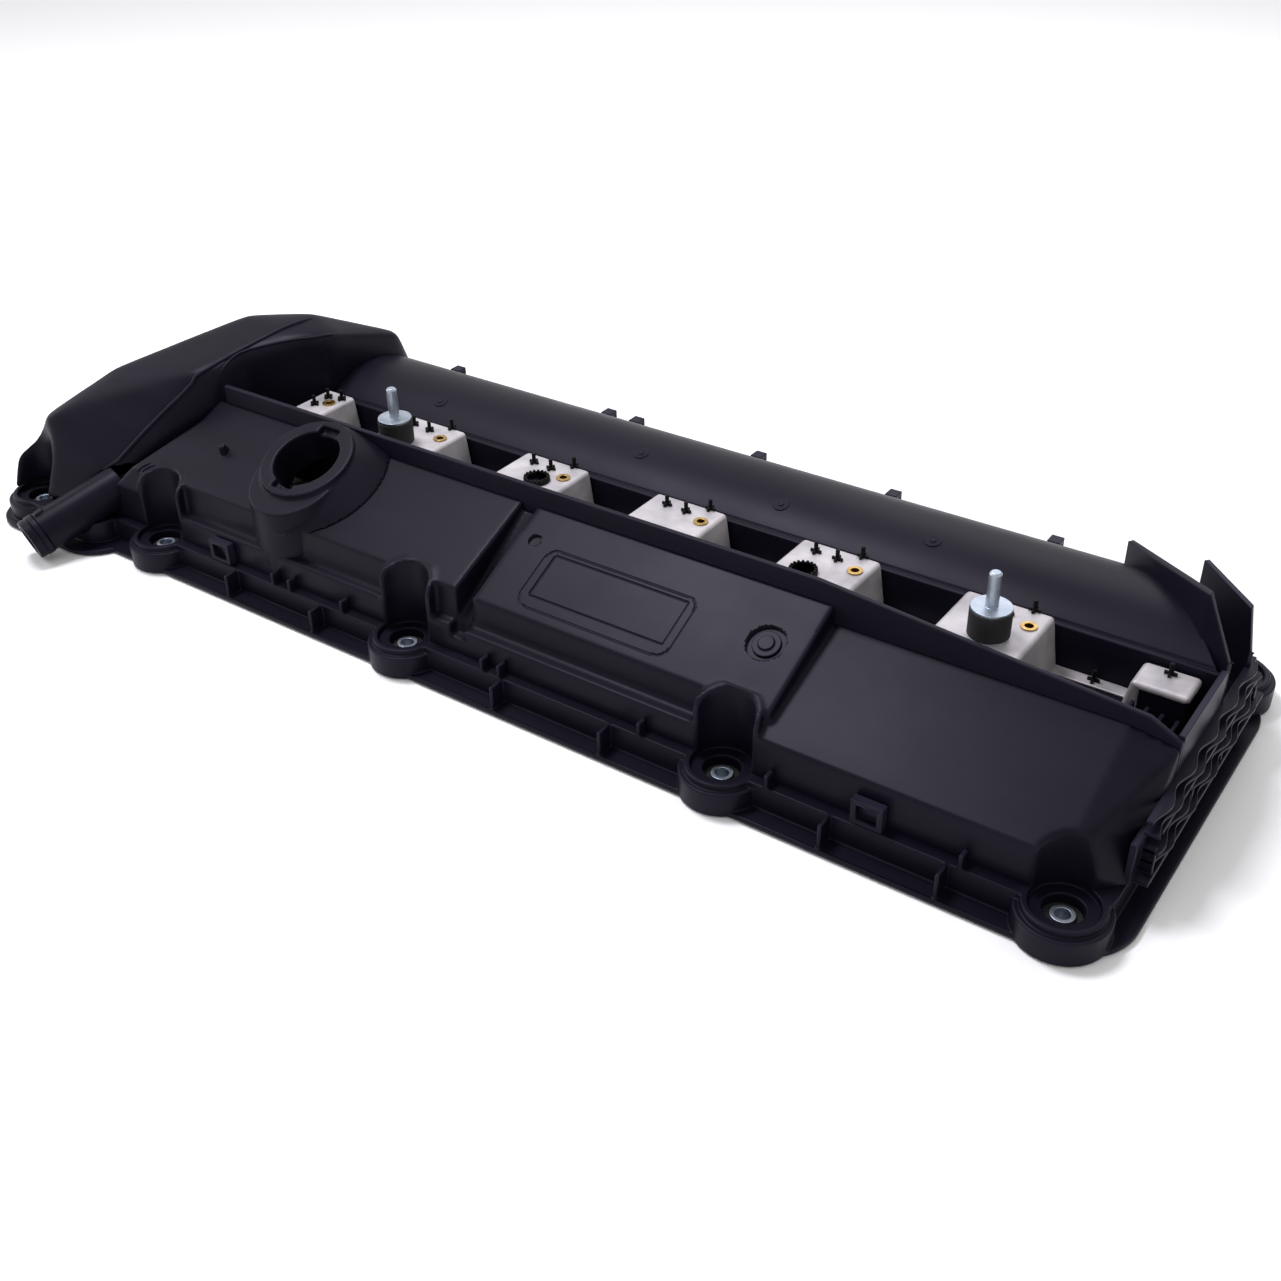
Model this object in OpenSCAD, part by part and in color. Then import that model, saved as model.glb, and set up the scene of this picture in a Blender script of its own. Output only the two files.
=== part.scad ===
// Moulded cam cover of a straight-six engine, with its seals, sleeves, earth plate and buffers.
// The joint face lies on z = 0, and the origin is the axis of the first plug well. +X runs from the
// timing end to the rear end, and -Y is the filler side. Lengths are in millimetres, and X stations
// are counted from the first coil seat.

/* [Overall size] */
// Distance between neighbouring coil seats
coil_pitch = 91; // [90:0.5:94]
// Number of coil seats
coil_count = 6; // [6:1:6]
// Joint face centre line to its straight edges
half_width = 115; // [108:1:120]
// Front edge of the joint face to the first coil seat
front_len = 176; // [172:1:182]
// Last coil seat to the rear edge of the joint face
rear_len = 95; // [90:1:105]
// Height of the earth plate's tops above the joint face
seat_z = 68; // [60:1:75]
// General wall thickness of the moulding
wall = 3; // [2.2:0.1:4]

/* [Joint flange] */
// Thickness of the outer lip
lip_t = 3; // [2:0.5:5]
// Height of the upper lip's top
rail_h = 16; // [12:1:20]
// Width of the lower lip outside the channel wall
lip_w = 10.5; // [6:0.5:14]
// Width of the sealing face
face_w = 22; // [18:1:28]
// Radius of a bolt boss
boss_r = 21; // [18:1:24]
// Bore of a bolt boss
boss_bore = 18; // [12:0.5:20]
// Thickness of the channel ribs
rib_t = 2; // [1.5:0.1:3]

/* [Filler-side chamber] */
// Height of the second panel's near edge
panel_near_z = 46; // [38:1:55]
// Height of the second panel's far edge
panel_far_z = 73.8; // [65:0.2:80]
// Drop of the rear panel below the second one
panel_step = 10; // [4:1:14]
// Height of the filler-side valley rim
rim_z = 84.5; // [78:0.5:92]

/* [Filler neck] */
// Outer radius of the neck's ring
neck_r = 28.4; // [24:0.2:34]
// Bore radius of the neck
neck_bore_r = 20; // [16:0.5:24]
// Tilt of the neck, which follows the panel
neck_tilt = 23; // [0:1:30]

/* [Buffers and inserts] */
// Buffer diameter
buffer_d = 20; // [16:0.5:30]
// Stud diameter
stud_d = 6; // [5:1:8]
// Stud length above the disc
stud_len = 18; // [12:1:25]
// Thread bore of a brass insert
insert_bore = 4.2; // [3:0.1:6]

/* [Hidden] */
$fn = 64;
eps = 0.01;
last_x = (coil_count - 1) * coil_pitch;
front_x = -front_len;
rear_x = last_x + rear_len;
bolt_xs = [-40.6, 155.3, 354.9];
bolt_y = half_width - 16;
front_bulge = 15;
boss_h = rail_h - 3;
pocket_r = 15;
sleeve_h = rail_h - 6;
valley_y = 29;
floor_z = 40;
well_dx = 28;
well_r = 17;
chamber_y = -half_width + lip_w + 6;
valley_x0 = -46;
valley_x1 = rear_x - 10;

// ---------------------------------------------------------------- helpers

// Moves children from the first coil seat's station into the part's frame.
module at_first() {
  translate([-well_dx, 0, 0])
    children();
}

// Extrudes a (y, z) profile along X from x0 to x1.
module along_x(x0, x1) {
  translate([x0, 0, 0])
    rotate([90, 0, 90])
      linear_extrude(x1 - x0)
        children();
}

// Extrudes an (x, z) profile along Y from y0 to y1.
module along_y(y0, y1) {
  translate([0, y1, 0])
    rotate([90, 0, 0])
      linear_extrude(y1 - y0)
        children();
}

module box(lo, hi) {
  translate(lo)
    cube(hi - lo);
}

// A rectangle with round corners, given by its corners.
module round_rect(x0, y0, x1, y1, r) {
  translate([x0 + r, y0])
    square([x1 - x0 - 2 * r, y1 - y0]);
  translate([x0, y0 + r])
    square([x1 - x0, y1 - y0 - 2 * r]);
  for (x = [x0 + r, x1 - r], y = [y0 + r, y1 - r])
    translate([x, y])
      circle(r);
}

// The joint face's outline, drawn in by d all round.
module footprint(d) {
  corner_r = 26 - min(d, 22);
  round_rect(front_x + d, -half_width + d, rear_x - d, half_width - d, corner_r + 6);
  round_rect(front_x + d, -half_width - front_bulge + d, front_x + 106 - d, 0, corner_r);
  for (p = bolt_points)
    translate([p[0], p[1]])
      circle(boss_r - d * (boss_r - 2) / boss_r);
}

// Keeps children on the side of the vertical plane a-b that lies to its left, seen from above.
module left_of(a, b, reach) {
  t = (b - a) / norm(b - a);
  n = [-t[1], t[0]];
  intersection() {
    children();
    translate([0, 0, -1])
      linear_extrude(200)
        polygon([a - t * reach, b + t * reach, b + t * reach + n * reach, a - t * reach + n * reach]);
  }
}

module at_each(points) {
  for (p = points)
    translate(p)
      children();
}

near_points = [for (x = bolt_xs) [x, -bolt_y, 0]];
far_points = [for (x = bolt_xs) [x, half_width + 3, 0]];
end_points = [[rear_x - 28, -bolt_y, 0], [rear_x - 22, half_width - 9, 0], [front_x + 25, -104, 0],
              [front_x + 26, half_width - 13, 0]];
bolt_points = concat(near_points, far_points, end_points);
seat_xs = [for (i = [0:coil_count - 1]) i * coil_pitch];
buffer_points = [[coil_pitch - 19, -8], [last_x - 14, -8]];
socket_points = [[2 * coil_pitch - 12, -1], [4 * coil_pitch - 22, -6]];
insert_points = [for (x = seat_xs) [x - 1.2, 9, 0]];
sheet_t = 1.2;
arch_y = 62;
arch_z = 14;
arch_r = 60;
arch_far = half_width - 4;
arch_x0 = -18;
corner_z = 33;
rear_cut = [[rear_x - 15, valley_y], [rear_x - 88, arch_far]];

// ---------------------------------------------------------------- joint flange

// The ring between two inset outlines.
module ring(d0, d1, z0, z1) {
  translate([0, 0, z0])
    linear_extrude(z1 - z0)
      difference() {
        footprint(d0);
        footprint(d1);
      }
}

// The flange's channel section: lower lip, channel wall, upper lip and sealing face.
module joint_flange() {
  color("#26272b")
    at_first()
      difference() {
        union() {
          ring(0, face_w, 0, lip_t);
          ring(lip_w, lip_w + wall, 0, rail_h);
          ring(lip_w, face_w, rail_h - 2.5, rail_h);
          linear_extrude(8)
            gasket_path(-2.5, 6);
          intersection() {
            linear_extrude(boss_h)
              footprint(0);
            at_each(bolt_points)
              cylinder(r = boss_r, h = boss_h);
          }
          at_each(bolt_points)
            cylinder(r = pocket_r + wall, h = rail_h);
          channel_ribs();
        }
        at_each(bolt_points)
          translate([0, 0, -1])
            cylinder(d = boss_bore, h = rail_h + 2);
        at_each(bolt_points)
          translate([0, 0, boss_h])
            cylinder(r = pocket_r, h = rail_h);
        translate([0, 0, -1])
          linear_extrude(5)
            gasket_path(-0.2, 3.8);
        nozzle_space(nozzle_r + 0.1);
      }
}

// Region inside the sealing groove's outer edge, which passes each bolt on the inner side.
module seal_outline(d) {
  difference() {
    union() {
      round_rect(front_x + 17 + d, -half_width + 17 + d, rear_x - 17 - d, half_width - 17 - d, 14 - d);
      round_rect(front_x + 17 + d, -half_width - front_bulge + 17 + d, front_x + 89 - d, 0, 14 - d);
    }
    for (p = bolt_points)
      translate([p[0], p[1]])
        circle(12.2 + d);
  }
}

module gasket_path(d0, d1) {
  difference() {
    seal_outline(d0);
    seal_outline(d1);
  }
}

rib_xs = [28.7, 96.4, 225.5, 293.1, 414.6, 471.4];
web_xs = [58.5, 71.7, 112.2, 212.1, 223.2, 310.3, 381.5, 477.4];

// Upright ribs between the two lips, and small webs above the upper one.
module channel_ribs() {
  for (x = rib_xs, far = [0, 1])
    mirror([0, far, 0])
      box([x - rib_t / 2, -half_width + 1.5, 1], [x + rib_t / 2, -half_width + lip_w + 1, rail_h]);
  for (x = web_xs)
    box([x - rib_t / 2, -half_width + lip_w, rail_h - 1], [x + rib_t / 2, chamber_y, rail_h + 7]);
}

// ---------------------------------------------------------------- filler-side chamber

// Section of a panel: front wall, ledge, sloping panel. t draws it in by one wall thickness.
module panel_section(near_y, near_z, far_z, ledge_z, t) {
  polygon([
    [chamber_y + t, rail_h - (t > 0 ? 1 : 0)],
    [chamber_y + 1 + t, ledge_z - t],
    [near_y + t, ledge_z + 0.6 - t],
    [near_y + 0.6 + t, near_z - t * 0.8],
    [-valley_y - wall + (t > 0 ? eps : 0), far_z - t * 1.1],
    [-valley_y - wall + (t > 0 ? eps : 0), rail_h - (t > 0 ? 1 : 0)]
  ]);
}

p3_end = rear_x - 32;

// Pockets that leave room for a socket above each bolt.
module bolt_pockets(r) {
  at_each(concat(near_points, [end_points[0]]))
    translate([0, 0, boss_h])
      cylinder(r = r, h = 70);
}

// Wedge between the first panel and the timing housing, falling towards the corner.
module corner_wedge(t) {
  intersection() {
    translate([0, 0, rail_h - (t > 0 ? 1 : 0)])
      linear_extrude(60)
        polygon([[-86 + 2 * t, chamber_y + t], [-52 + eps, chamber_y + t], [-52 + eps, -44 + 2 * t]]);
    along_x(-90, -50)
      polygon([[chamber_y, 0], [chamber_y, 35 - t], [-91, 49 - t], [-34, 73 - t], [-34, 0]]);
    along_y(chamber_y, -34)
      polygon([[-90, 0], [-90, 23 - t], [-72, 46 - t], [-52, 66 - t], [-50, 66 - t], [-50, 0]]);
  }
}

module chamber_outer() {
  corner_wedge(0);
  along_x(-52, 186)
    panel_section(-91, panel_near_z + 3, panel_far_z, 31, 0);
  along_x(186, 196)
    panel_section(-91, 31, panel_far_z - 4, 24, 0);
  along_x(196, 374)
    panel_section(-90, panel_near_z, panel_far_z, 30, 0);
}

// Rear panel with its rounded end; t draws it in by one wall thickness.
module rear_panel(t) {
  low = rail_h - (t > 0 ? 1 : 0);
  inner_y = -valley_y - wall + (t > 0 ? eps : 0);
  hull() {
    along_x(374 - t, p3_end - t)
      polygon([[-98 + t, low], [-98 + t, 36.5 - t], [inner_y, panel_far_z - panel_step - t], [inner_y, low]]);
    along_x(p3_end, rear_x - 10 - t)
      polygon([[-74 + t, low], [-60, 31 - t], [-46, 46 - t], [inner_y, 60 - t], [inner_y, low]]);
  }
}

module chamber_inner() {
  corner_wedge(wall);
  along_x(-52, 186 - wall)
    panel_section(-91, panel_near_z + 3, panel_far_z, 31, wall);
  along_x(182, 200)
    panel_section(-91, 31, panel_far_z - 4, 24, wall);
  along_x(196 + wall, 374 - wall)
    panel_section(-90, panel_near_z, panel_far_z, 30, wall);
  rear_panel(wall);
}

module filler_chamber() {
  color("#1d1e22")
    at_first()
      difference() {
        chamber_outer();
        chamber_inner();
        neck_space(neck_r - 4);
        bolt_pockets(pocket_r + wall);
        nozzle_space(nozzle_r);
      }
}

// Curved walls of the socket pockets, which stand in the chamber's front.
module socket_pockets() {
  color("#1d1e22")
    at_first()
      difference() {
        intersection() {
          union() {
            chamber_outer();
            rear_panel(0);
          }
          bolt_pockets(pocket_r + wall);
        }
        bolt_pockets(pocket_r);
        nozzle_space(nozzle_r);
      }
}

// The lower rear part of the chamber, open towards the second panel.
module rear_chamber() {
  color("#1d1e22")
    at_first()
      difference() {
        rear_panel(0);
        rear_panel(wall);
        bolt_pockets(pocket_r + wall);
      }
}

// ---------------------------------------------------------------- filler neck

neck_at = [53.7, -62, 76];

module neck_frame() {
  translate(neck_at)
    rotate([neck_tilt, 0, 0])
      children();
}

module neck_space(r) {
  neck_frame()
    translate([0, 0, -26])
      cylinder(r = r, h = 60);
}

// Tilted ring with a bayonet, on an upright half-round tower and a one-sided flare.
module filler_neck() {
  color("#1b1c20")
    at_first()
      difference() {
        union() {
          neck_frame()
            translate([0, 0, -22])
              cylinder(r = neck_r, h = 22);
          intersection() {
            translate([neck_at[0], neck_at[1] - 8.5, rail_h])
              cylinder(r = neck_r - 0.4, h = 70);
            neck_frame()
              translate([0, 0, -100])
                cylinder(r = 60, h = 97);
            box([0, -110, 0], [120, -63, 100]);
          }
          intersection() {
            neck_frame()
              translate([0, 0, -13.5])
                cylinder(r1 = neck_r + 17, r2 = neck_r, h = 11);
            box([neck_at[0], -110, 0], [160, -valley_y - wall, 120]);
          }
        }
        neck_space(neck_bore_r);
        translate([neck_at[0], neck_at[1] - 8.5, rail_h - 1])
          cylinder(r = neck_r - 4, h = 28);
        for (a = [90, 270])
          neck_frame()
            rotate(a)
              translate([0, -7, -4])
                cube([neck_bore_r + 4, 14, 12]);
      }
}

// ---------------------------------------------------------------- coil valley

// Floor between the two cam chambers, with the six well tubes and the ribs of the rear pocket.
module coil_valley() {
  color("#17181b")
    at_first()
      difference() {
        union() {
          box([valley_x0, -valley_y, floor_z - wall], [valley_x1 - wall, valley_y - wall, floor_z]);
          for (i = [0:3])
            box([last_x + 52 + i * 7, -valley_y, floor_z], [last_x + 54 + i * 7, 3, floor_z + 12 - i]);
          for (x = seat_xs)
            translate([x + well_dx, 0, 0])
              cylinder(r = well_r + wall, h = floor_z);
        }
        for (x = seat_xs)
          translate([x + well_dx, 0, -1])
            cylinder(r = well_r, h = floor_z + 2);
      }
}

// Wall between the valley and the filler-side chamber; it drops towards the rear.
module valley_rim() {
  color("#1b1c20")
    at_first()
      along_y(-valley_y - wall, -valley_y)
        polygon([[valley_x0, floor_z - wall], [valley_x1, floor_z - wall], [valley_x1, rim_z - 22],
                 [rear_x - 25, rim_z - 14], [4 * coil_pitch, rim_z], [valley_x0, rim_z]]);
}

// Tapered blocks that carry the coils and the rear clip of the earth plate.
module coil_seats() {
  color("#17181b")
    at_first()
      difference() {
        union() {
          for (x = seat_xs)
            seat_block(x, 0);
          rear_block(0);
        }
        at_each(insert_points)
          translate([0, 0, floor_z + 12])
            cylinder(d = 6, h = 40);
      }
}

// The block under one seat of the earth plate; t grows it to the plate's outside. The timing
// housing cuts the first one short.
module seat_block(x, t) {
  left = x == 0 ? -20 : -42;
  along_y(-25 - t, valley_y - wall - 1.4)
    polygon([[x + left - t, floor_z], [x + 9 + t, floor_z], [x + 4.4 + t, seat_z - sheet_t + t],
             [x + left + 4.5 - t, seat_z - sheet_t + t]]);
}

module rear_block(t) {
  along_y(6 - t, valley_y - wall - 1.4)
    polygon([[last_x + 47 - t, floor_z], [last_x + 76 + t, floor_z], [last_x + 75 + t, 58.8 + t],
             [last_x + 51 - t, 58.8 + t]]);
}

// ---------------------------------------------------------------- exhaust-side chamber

module arch_section() {
  intersection() {
    translate([arch_y, arch_z])
      difference() {
        circle(arch_r, $fn = 128);
        circle(arch_r - wall, $fn = 128);
      }
    translate([valley_y, rail_h])
      square([arch_far - valley_y, 80]);
  }
  translate([arch_far - wall, rail_h])
    square([wall, 32]);
}

// Upright room for a socket over each bolt of the far side.
module far_flutes(r) {
  at_each(far_points)
    translate([0, 0, boss_h])
      cylinder(r = r, h = 70);
}

// The arch's whole outline, closed down to the flange.
module arch_solid() {
  intersection() {
    translate([arch_y, arch_z])
      circle(arch_r, $fn = 128);
    translate([valley_y, rail_h])
      square([arch_far - valley_y, 80]);
  }
}

// Long half-round shell, closed at the slanting cut, with a low roof over the rear corner.
module exhaust_chamber() {
  color("#202126")
    at_first() {
      difference() {
        left_of(rear_cut[0], rear_cut[1], 700)
          along_x(arch_x0, rear_x)
            arch_section();
        far_flutes(pocket_r);
      }
      intersection() {
        along_x(arch_x0, rear_x - 100)
          arch_solid();
        difference() {
          far_flutes(pocket_r + wall);
          far_flutes(pocket_r);
        }
      }
      box([arch_x0, valley_y - wall, floor_z - wall], [valley_x1 - wall, valley_y, 63]);
      difference() {
        left_of(rear_cut[0], rear_cut[1], 700)
          along_x(rear_x - 100, rear_x)
            arch_solid();
        left_of(rear_cut[0] - [wall, 0], rear_cut[1] - [wall, 0], 700)
          along_x(rear_x - 101, rear_x + 1)
            arch_solid();
      }
      difference() {
        box([rear_x - 86, valley_y, corner_z - wall], [rear_x - 9, arch_far, corner_z]);
        left_of(rear_cut[0], rear_cut[1], 700)
          box([rear_x - 200, valley_y - 1, 0], [rear_x, arch_far + 1, 60]);
        translate(end_points[1])
          cylinder(r = pocket_r, h = 60);
        translate(end_points[1] - [0, pocket_r, 0])
          cube([40, 60, 60]);
      }
    }
}

// ---------------------------------------------------------------- timing housing

housing_top = [
  [-168, -108, 36], [-150, -92, 64], [-125, -56, 86], [-100, -17, 97], [-75, 20, 105.5],
  [-60, 40, 103.5], [-42, 46, 106], [-92, -94, 40], [-60, -46, 84.5], [-60, -40, 92.5],
  [-52, -5, 100], [-45, 22, 104.5], [-52, -valley_y, 85], [-20, 25, 101], [-18, 42, 100],
  [-18, 94, 83], [-24, 108, 58], [-80, 108, 66], [-150, 104, 50], [-168, 100, 30]
];
housing_base = [[-168, -114], [-94, -104], [-57, -41], [-52, -valley_y], [-18, 25], [-18, 108], [-168, 108]];

// Blends balls of one radius set at the housing's corners, drawn in by d.
module housing_blob(d, r, z0) {
  hull() {
    for (p = housing_top)
      translate([p[0] + (p[0] < -90 ? d : -d), p[1] - sign(p[1] - 20) * d, p[2] - d])
        sphere(r, $fn = 16);
    for (p = housing_base)
      translate([p[0] + (p[0] < -90 ? d : -d), p[1] - sign(p[1] - 20) * d, z0])
        cylinder(r = r, h = 1, $fn = 16);
  }
}

// The housing's inner side, cut back for the valley and the first coil seat.
module valley_step(t) {
  linear_extrude(130)
    polygon([[-51 - t, -valley_y - wall - t], [-51 - t, -12], [-23 - t, valley_y - 3 + t],
               [30, valley_y - 3 + t], [30, -valley_y - wall - t]]);
}

module timing_housing() {
  color("#1e1f23")
    at_first()
      difference() {
        housing_blob(3, 3, rail_h);
        difference() {
          housing_blob(6, 3, rail_h - 3);
          valley_step(wall);
          end_pockets(12 + wall);
        }
        valley_step(0);
        end_pockets(12);
        nozzle_space(nozzle_r - 1);
        box([-90, -105, rail_h - 1], [-84, -97, rail_h + 1.2]);
      }
}

// Upright pockets over the two front bolts, open towards the long sides.
module end_pockets(r) {
  for (p = [end_points[2], end_points[3]])
    translate([p[0], p[1], 0]) {
      cylinder(r = r, h = 120);
      translate([-r, p[1] < 0 ? -60 : 0, 0])
        cube([2 * r, 60, 120]);
    }
}

// ---------------------------------------------------------------- breather nozzle

nozzle_r = 12.5;
nozzle_root = [-90, -92, 29];
nozzle_tip = [-106, -147, 13];

module nozzle_frame() {
  v = nozzle_tip - nozzle_root;
  translate(nozzle_root)
    rotate([0, acos(v[2] / norm(v)), atan2(v[1], v[0])])
      children();
}

nozzle_len = norm(nozzle_tip - nozzle_root);

module nozzle_space(r) {
  nozzle_frame()
    translate([0, 0, -16])
      cylinder(r = r, h = nozzle_len + 30);
}

module breather_nozzle() {
  color("#202126")
    at_first()
      difference() {
        nozzle_frame() {
          translate([0, 0, -4])
            cylinder(r = nozzle_r, h = nozzle_len + 4);
          translate([0, 0, nozzle_len - 9])
            cylinder(r = nozzle_r + 0.5, h = 4);
          translate([-14, -2, nozzle_len - 16])
            cube([8, 4, 5]);
        }
        nozzle_space(9);
      }
}

// ---------------------------------------------------------------- rear end

// Unit normal of the plan line a-b.
function normal(a, b) = [a[1] - b[1], b[0] - a[0]] / norm(b - a);

// Offset of the corner b of the plan path a-b-c, for a plate of thickness t.
function mitre(a, b, c, t) = (normal(a, b) + normal(b, c)) / (1 + normal(a, b) * normal(b, c)) * t / 2;

// A vertical plate over the bent line a-b-c. tops holds its height at each of the three.
module bent_fin(a, b, c, tops, t) {
  na = normal(a, b) * t / 2;
  nb = mitre(a, b, c, t);
  nc = normal(b, c) * t / 2;
  intersection() {
    linear_extrude(200)
      polygon([a + na, b + nb, c + nc, c - nc, b - nb, a - na]);
    along_y(-200, 200)
      polygon([[a[0] - t, rail_h], [c[0] + t, rail_h], [c[0] + t, tops[2]], [c[0], tops[2]], [b[0], tops[1]],
               [a[0], tops[0]], [a[0] - t, tops[0]]]);
  }
}

// Two slanting fins that carried the harness duct round the rear corner.
module rear_fins() {
  color("#1b1c20")
    at_first() {
      bent_fin(rear_cut[1] + [4, -4], rear_cut[0] + [-12, 13], [rear_x - 11, valley_y + 4], [71, 93, 66], wall);
      bent_fin([rear_x - 45, arch_far - 9], [rear_x - 14, 71], [rear_x - 9, 67], [75, 75, 53], wall);
    }
}

// End wall with a shelf and stepped ribs that stand out behind it.
module rear_wall() {
  color("#222327")
    at_first() {
      box([valley_x1 - wall, -74, rail_h], [valley_x1, end_points[1][1] - pocket_r, floor_z - wall]);
      box([valley_x1 - wall, -valley_y, floor_z - wall], [valley_x1, valley_y, rim_z - 20]);
      box([valley_x1, -72, rail_h], [rear_x - 3, end_points[1][1] - pocket_r, rail_h + 2.5]);
      box([valley_x1, -56, floor_z - 8], [rear_x - 5, arch_far - 28, floor_z - 5.5]);
      for (i = [0:6])
        box([valley_x1, -66 + i * 23, rail_h], [rear_x - 4 - (i % 2) * 2, -63.5 + i * 23, floor_z - 8]);
    }
}

// ---------------------------------------------------------------- earth plate and its fittings

// Pressed sheet: a tapered cap over every seat, joined by strips along the far side.
module earth_plate() {
  color("#c9c9cc")
    at_first()
      difference() {
        union() {
          for (x = seat_xs)
            seat_block(x, sheet_t);
          rear_block(sheet_t);
          box([-20, valley_y - 11, floor_z + 0.02], [last_x + 50, valley_y - 3.4, floor_z + 1.4]);
        }
        for (x = seat_xs)
          seat_block(x, 0.02);
        rear_block(0.02);
        box([-60, -40, floor_z - 4], [rear_x, 40, floor_z + 0.02]);
        at_each(insert_points)
          translate([0, 0, seat_z - 10])
            cylinder(d = 6.04, h = 20);
        for (p = socket_points)
          translate([p[0], p[1], seat_z - 10])
            cylinder(d = 15, h = 20);
      }
}

module earth_inserts() {
  color("#c79a3a")
    at_first()
      at_each(insert_points)
        translate([0, 0, floor_z + 12.02])
          difference() {
            union() {
              cylinder(d = 5.96, h = seat_z - floor_z - 12);
              translate([0, 0, seat_z - floor_z - 12])
                cylinder(d = 8, h = 0.8);
            }
            translate([0, 0, -1])
              cylinder(d = insert_bore, h = 40);
          }
}

pin_offsets = [[-26.5, 14.8], [-13.7, 13.9], [-4.4, 23.2]];
first_pins = [[-7.5, 3.2, seat_z], [-7.5, 14.9, seat_z], [1.5, 17.5, seat_z]];
plate_pins_at = concat(
  first_pins,
  [for (i = [1:coil_count - 1], o = pin_offsets) [seat_xs[i] + o[0], o[1], seat_z]],
  [[last_x + 28.7, valley_y - 7, floor_z + 1.4], [last_x + 63, 19, 60]]
);

// Moulded stakes with a crossed foot that hold the sheet down.
module plate_pins() {
  color("#0f0f11")
    at_first()
      at_each(plate_pins_at) {
        cylinder(d = 2.2, h = 6.2);
        for (a = [0, 90])
          rotate(a)
            translate([-3, -0.6, 0])
              cube([6, 1.2, 1.6]);
      }
}

// Toothed sockets for the harness duct on two of the seats.
module duct_sockets() {
  color("#101012")
    at_first()
      for (p = socket_points)
        translate([p[0], p[1], seat_z - 1.2])
          difference() {
            union() {
              cylinder(d = 14.8, h = 3.4);
              for (a = [0:20:340])
                rotate(a)
                  translate([6, -0.6, 3])
                    cube([1.2, 1.2, 1.4]);
            }
            translate([0, 0, -1])
              cylinder(d = 11, h = 8);
          }
}

// ---------------------------------------------------------------- buffers

module at_buffers(z) {
  at_first()
    for (p = buffer_points)
      translate([p[0], p[1], z])
        children();
}

module buffer_rubbers() {
  color("#141416")
    at_buffers(seat_z)
      translate([0, 0, 1.2])
        cylinder(d = buffer_d, h = 13.6);
}

module buffer_feet() {
  color("#b9c2cb")
    at_buffers(seat_z)
      cylinder(d = buffer_d - 1, h = 1.2);
}

module buffer_studs() {
  color("#b9c2cb")
    at_buffers(seat_z + 14.8) {
      cylinder(d = buffer_d - 0.6, h = 1.4);
      cylinder(d = stud_d, h = stud_len + 1.4 - 1);
      translate([0, 0, stud_len + 0.4])
        cylinder(d1 = stud_d, d2 = stud_d - 1.6, h = 1);
    }
}

// ---------------------------------------------------------------- seals, sleeves and trim

module perimeter_gasket() {
  color("#0c0c0d")
    at_first()
      translate([0, 0, -0.6])
        linear_extrude(4.4)
          gasket_path(0, 3.6);
}

module bolt_grommets() {
  color("#0d0d0e")
    at_first()
      at_each(bolt_points)
        difference() {
          translate([0, 0, 1])
            cylinder(d = boss_bore - 0.1, h = sleeve_h - 3);
          cylinder(d = 11, h = 40);
        }
}

module bolt_sleeves() {
  color("#a9adb2")
    at_first()
      at_each(bolt_points)
        difference() {
          cylinder(d = 10.9, h = sleeve_h);
          translate([0, 0, -1])
            cylinder(d = 7, h = 40);
        }
}

clip_box_xs = [7, 424];

// Open-fronted boxes on the filler side that take cable ties.
module clip_boxes() {
  color("#232428")
    at_first()
      for (x = clip_box_xs)
        translate([x, chamber_y - 5, rail_h])
          difference() {
            cube([16, 5, 13]);
            translate([3, -1, 2.5])
              cube([10, 4.5, 8]);
          }
}

hook_xs = [12, 135, 156, 243, 330, 424];

// Hooks on the far edge that hold the injector harness.
module duct_hooks() {
  color("#1b1c20")
    at_first()
      for (x = hook_xs)
        translate([x, arch_far - 6, 44])
          difference() {
            cube([7, 7.5, 15]);
            translate([-1, -1, 3])
              cube([9, 6.4, 9]);
          }
}

// Splash baffle welded under the filler-side chamber, with drain slots.
module oil_baffle() {
  color("#2a2b30")
    at_first()
      difference() {
        box([-40, -92, 20], [rear_x - 50, -36, 22]);
        for (x = [-20:30:470])
          box([x, -60, 19], [x + 12, -54, 23]);
        translate([neck_at[0], neck_at[1], 10])
          cylinder(r = neck_bore_r + 3, h = 20);
        for (p = near_points)
          translate([p[0], p[1], 19])
            cylinder(r = pocket_r + wall + 0.5, h = 4);
      }
}

// One seal with six eyes round the plug tubes.
module well_seal() {
  color("#0c0c0d")
    at_first()
      difference() {
        union() {
          for (x = seat_xs)
            translate([x + well_dx, 0, -0.6])
              cylinder(r = well_r + wall + 4, h = 3.6);
          box([well_dx, -3, -0.6], [last_x + well_dx, 3, 3]);
        }
        for (x = seat_xs)
          translate([x + well_dx, 0, -2])
            cylinder(r = well_r + wall + 0.05, h = 8);
      }
}

joint_flange();
filler_chamber();
rear_chamber();
socket_pockets();
filler_neck();
coil_valley();
valley_rim();
coil_seats();
exhaust_chamber();
timing_housing();
breather_nozzle();
rear_fins();
rear_wall();
earth_plate();
earth_inserts();
plate_pins();
duct_sockets();
buffer_rubbers();
buffer_feet();
buffer_studs();
perimeter_gasket();
bolt_grommets();
bolt_sleeves();
clip_boxes();
duct_hooks();
oil_baffle();
well_seal();
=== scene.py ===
"""Moulded cam cover of a straight-six engine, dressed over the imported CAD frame.

Lengths in this script are millimetres where a name or comment doesn't say otherwise; mm() turns them
into the frame's metres. X stations are counted from the first coil seat, as in the design.
"""

import math

import bmesh
import bpy
from mathutils import Matrix, Vector


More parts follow.
